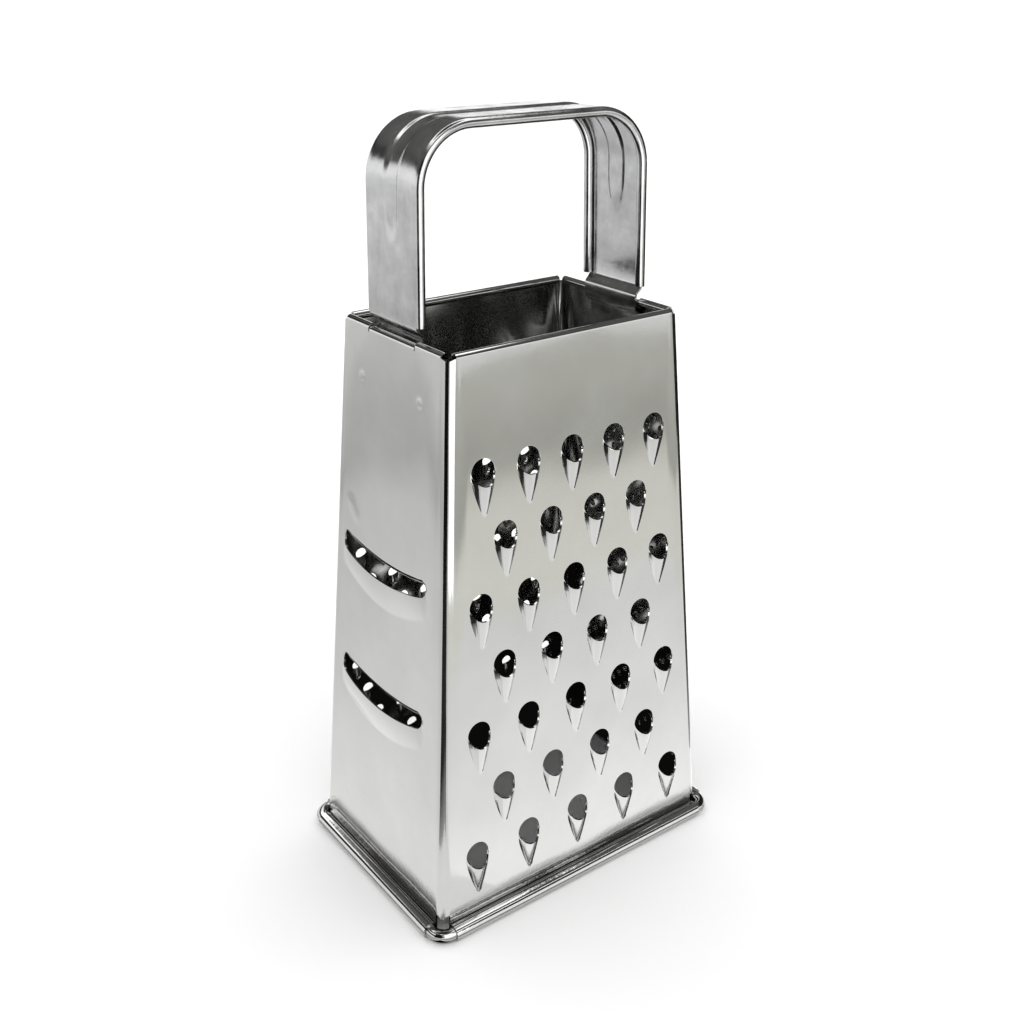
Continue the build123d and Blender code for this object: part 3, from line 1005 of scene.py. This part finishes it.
# Sizes and depths in millimetres. The sheet gives long calm reflections that bend a little
sheetSteel = rolledStainless("brightRolledStainless", {
    "waveSize": 38, "waveDepth": 0.8,
    "peelSize": 1.2, "peelDepth": 0.02, "peelTop": 60,
    "grainSize": 0.5, "grainStretch": (1, 1, 0.06), "grainDepth": 0.0008,
    "smudgeSize": 30, "roughLow": 0.08, "roughHigh": 0.15,
    "darkTone": "C0C0BE", "lightTone": "C8C8C7",
})
# The strap looks mottled and a little duller, as handled metal does
strapSteel = rolledStainless("tumbledStainlessStrap", {
    "waveSize": 16, "waveDepth": 0.25,
    "peelSize": 1.6, "peelDepth": 0.02, "peelTop": 2000,
    "grainSize": 0.6, "grainStretch": (1, 1, 0.2), "grainDepth": 0.003,
    "smudgeSize": 9, "roughLow": 0.14, "roughHigh": 0.3,
    "darkTone": "B4B4B5", "lightTone": "CCCCCC",
})
# The wire has fine marks along it from drawing
wireSteel = rolledStainless("drawnStainlessWire", {
    "waveSize": 14, "waveDepth": 0.05,
    "peelSize": 1.0, "peelDepth": 0.004, "peelTop": 2000,
    "grainSize": 0.4, "grainStretch": (0.1, 0.1, 1), "grainDepth": 0.001,
    "smudgeSize": 12, "roughLow": 0.1, "roughHigh": 0.18,
    "darkTone": "B4B4B2", "lightTone": "C4C4C2",
})
for piece, metal, slot, nodes in (
    (body, sheetSteel, "sheet_steel", ("coarse_wall", "fine_wall", "rasp_wall", "slicer_wall")),
    (wireRing, wireSteel, "wire_steel", ("base_wire",)),
    (handle, strapSteel, "strap_steel", ("handle",)),
):
    piece.data.materials.clear()
    piece.data.materials.append(metal)
    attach(piece, "root")
    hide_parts(*nodes)
print("materials given")

# Floor, light and camera

studio = {
    "floorSize": 60.0,
    "floorTone": "F6F6F6",
    # how bright the room is at each height over the horizon, as the sine of that height
    "room": (
        (0.0, 1.4), (0.2, 1.4), (0.25, 0.04), (0.5, 0.05),
        (0.6, 2.2), (0.88, 2.2), (0.94, 0.06), (1.0, 0.04),
    ),
}
deselectAll()
bpy.ops.mesh.primitive_plane_add(size=studio["floorSize"], location=(0, 0, 0))
floor = bpy.context.object
floor.name = "floor"
floorPaint, tree = newMaterial("paleFloor")
paint = addNode(tree, "ShaderNodeBsdfPrincipled", {
    "Base Color": colour(studio["floorTone"]), "Roughness": 0.9, "Specular IOR Level": 0.1,
})
addNode(tree, "ShaderNodeOutputMaterial", {}, [(paint, "BSDF", "Surface")])
floor.data.materials.append(floorPaint)

# A ramp of tones of one tint, which may be brighter than white
def addTones(tree, tones, tint, link):
    ramp = addNode(tree, "ShaderNodeValToRGB", {}, [link])
    while len(ramp.color_ramp.elements) < len(tones):
        ramp.color_ramp.elements.new(0.5)
    for element, (place, tone) in zip(ramp.color_ramp.elements, tones):
        element.position = place
        element.color = (tone * tint[0], tone * tint[1], tone * tint[2], 1)
    return ramp


# The room: a pale horizon, dark walls, and a ring of soft light round a dark ceiling
world = bpy.data.worlds.new("studio")
bpy.context.scene.world = world
world.use_nodes = True
tree = world.node_tree
tree.nodes.clear()
sky = addNode(tree, "ShaderNodeTexCoord", {})
split = addNode(tree, "ShaderNodeSeparateXYZ", {}, [(sky, "Generated", "Vector")])
ring = addTones(tree, studio["room"], (1, 1, 1), (split, "Z", "Fac"))
glow = addNode(tree, "ShaderNodeBackground", {}, [(ring, "Color", "Color")])
addNode(tree, "ShaderNodeOutputWorld", {}, [(glow, "Background", "Surface")])


# Glowing cards round the grater, placed as a photographer places cards, that light nothing and that
# only reflections see: painted reflections of dark and light bands on the metal, and painted light and
# shade of the table. Angles go round from the slicing face to the coarse one; distances from the wired
# edge and heights are those of the card's two long edges, and tones run between
white = (1, 1, 1)
paintedReflectionCards = {
    # painted shade: the table far off, darker in a band as if less lit, seen only in the metal
    "paintedShadeFarTable": {
        "angles": (-180, 60), "distances": (170, 1500), "heights": (1, 1), "tint": white,
        "tones": ((0, 0.97), (0.07, 0.92), (0.13, 0.76), (0.22, 0.82), (0.4, 0.97), (1, 1.0)),
    },
    # painted light near the grater and painted shade beyond, with a faint yellow tint, on the far table
    # in front
    "paintedShadeFarTableFront": {
        "angles": (60, 180), "distances": (170, 1500), "heights": (1, 1), "tint": (1, 1, 0.94),
        "tones": ((0, 1.12), (0.09, 1.06), (0.14, 0.68), (0.25, 0.72), (0.4, 0.78), (1, 0.8)),
    },
    # painted light: a pool of light on the table close round the grater, seen only in the metal
    "paintedLightNearTable": {
        "angles": (-180, 60), "distances": (5, 170), "heights": (1, 1), "tint": white,
        "tones": ((0, 1.25), (0.35, 1.1), (1, 0.97)),
    },
    # painted light: a brighter pool of light on the table in front, seen only in the metal
    "paintedLightNearTableFront": {
        "angles": (60, 180), "distances": (5, 170), "heights": (1, 1), "tint": white,
        "tones": ((0, 1.5), (0.35, 1.3), (1, 1.12)),
    },
    "edgeShade": {
        "angles": (-180, 180), "distances": (1.5, 5), "heights": (1, 1), "tint": white,
        "tones": ((0, 0.06), (1, 1.3)),
    },
    # painted shade: a near black sheet on the floor inside the box, seen in the inner walls where the
    # floor lies in shade
    "paintedShadeInsideBox": {
        "angles": (-180, 180), "distances": (-38.5, -1), "heights": (1, 1), "tint": white,
        "tones": ((0, 0.01), (1, 0.01)),
    },
    # painted shade: a dark patch of table by the camera, seen only in the metal
    "paintedShadeTableByCamera": {
        "angles": (12, 47), "distances": (40, 260), "heights": (2, 2), "tint": white,
        "tones": ((0, 0.6), (0.2, 0.05), (1, 0.03)),
    },
    # painted shade: a dark patch of table on the right, seen only in the metal
    "darkTableRight": {
        "angles": (150, 222), "distances": (30, 400), "heights": (2, 2), "tint": white,
        "tones": ((0, 0.6), (0.2, 0.08), (1, 0.05)),
    },
    # painted reflection: an upright dark band by the camera, seen only in the metal
    "paintedDarkReflectionByCamera": {
        "angles": (12, 47), "distances": (260, 260), "heights": (2, 420), "tint": white,
        "tones": ((0, 0.01), (1, 0.01)),
    },
    # painted reflection: an upright glowing band, though no lamp, seen only in the metal
    "lightByCamera": {
        "angles": (56, 104), "distances": (260, 260), "heights": (2, 420), "tint": white,
        "tones": ((0, 2.2), (1, 2.2)),
    },
    # painted reflection: an upright dark band on the right, seen only in the metal
    "darkRight": {
        "angles": (141, 215), "distances": (400, 400), "heights": (2, 420), "tint": white,
        "tones": ((0, 0.03), (1, 0.03)),
    },
    "highShade": {
        "angles": (-180, 180), "distances": (420, 420), "heights": (430, 900), "tint": (1, 1, 0.95),
        "tones": ((0, 0.2), (1, 0.12)),
    },
}
footprint = (55.2, 38.9)   # half width and half depth over the wired edge


def addPaintedReflectionCard(name, card):
    deselectAll()
    bpy.ops.mesh.primitive_grid_add(x_subdivisions=72, y_subdivisions=1, size=2)
    piece = bpy.context.object
    piece.name = name
    for point in piece.data.vertices:
        along, up = (point.co.x + 1) / 2, (point.co.y + 1) / 2
        angle = math.radians(card["angles"][0] * (1 - along) + card["angles"][1] * along)
        beyond = card["distances"][0] * (1 - up) + card["distances"][1] * up
        height = card["heights"][0] * (1 - up) + card["heights"][1] * up
        # the card keeps its distance from the footprint, so it runs round it as a rectangle
        across, deep = -math.cos(angle), -math.sin(angle)
        reach = min(
            (footprint[0] + beyond) / max(abs(across), 1e-6),
            (footprint[1] + beyond) / max(abs(deep), 1e-6),
        )
        point.co = Vector((across * reach, deep * reach, height)) * millimetre
    material, tree = newMaterial(name)
    place = addNode(tree, "ShaderNodeTexCoord", {})
    split = addNode(tree, "ShaderNodeSeparateXYZ", {}, [(place, "UV", "Vector")])
    tones = addTones(tree, card["tones"], card["tint"], (split, "Y", "Fac"))
    # painted reflection: the card's tones glow, though it is no lamp, and only reflections see them
    glow = addNode(tree, "ShaderNodeEmission", {}, [(tones, "Color", "Color")])
    addNode(tree, "ShaderNodeOutputMaterial", {}, [(glow, "Emission", "Surface")])
    piece.data.materials.append(material)
    piece.visible_camera = False
    piece.visible_diffuse = False
    piece.visible_shadow = False


for name, card in paintedReflectionCards.items():
    addPaintedReflectionCard(name, card)

camera = {
    "azimuth": -36.42,
    "elevation": 19.86,
    "roll": -0.09,
    "distance": 370.3,
    "side": 0.14,
    "height": 139.0,
    "lens": 44.06,
    "rise": -0.0898,
}
azimuth, elevation = math.radians(camera["azimuth"]), math.radians(camera["elevation"])
sight = Vector((math.sin(azimuth), -math.cos(azimuth), math.tan(elevation)))
back = sight * math.cos(elevation)
aim = Vector((camera["side"] * math.cos(azimuth), camera["side"] * math.sin(azimuth), camera["height"]))
bpy.ops.object.camera_add(location=(aim + back * camera["distance"]) * millimetre)
view = bpy.context.object
facing = (-back).to_track_quat("-Z", "Y").to_matrix()
view.rotation_euler = (facing @ Matrix.Rotation(math.radians(camera["roll"]), 3, "Z")).to_euler()
view.data.lens = camera["lens"]
view.data.sensor_width = 36
view.data.shift_y = camera["rise"]
view.data.clip_start = 0.01
bpy.context.scene.camera = view
bpy.context.scene.view_settings.view_transform = "Standard"
bpy.context.scene.view_settings.gamma = 0.85
print("camera and lights set")
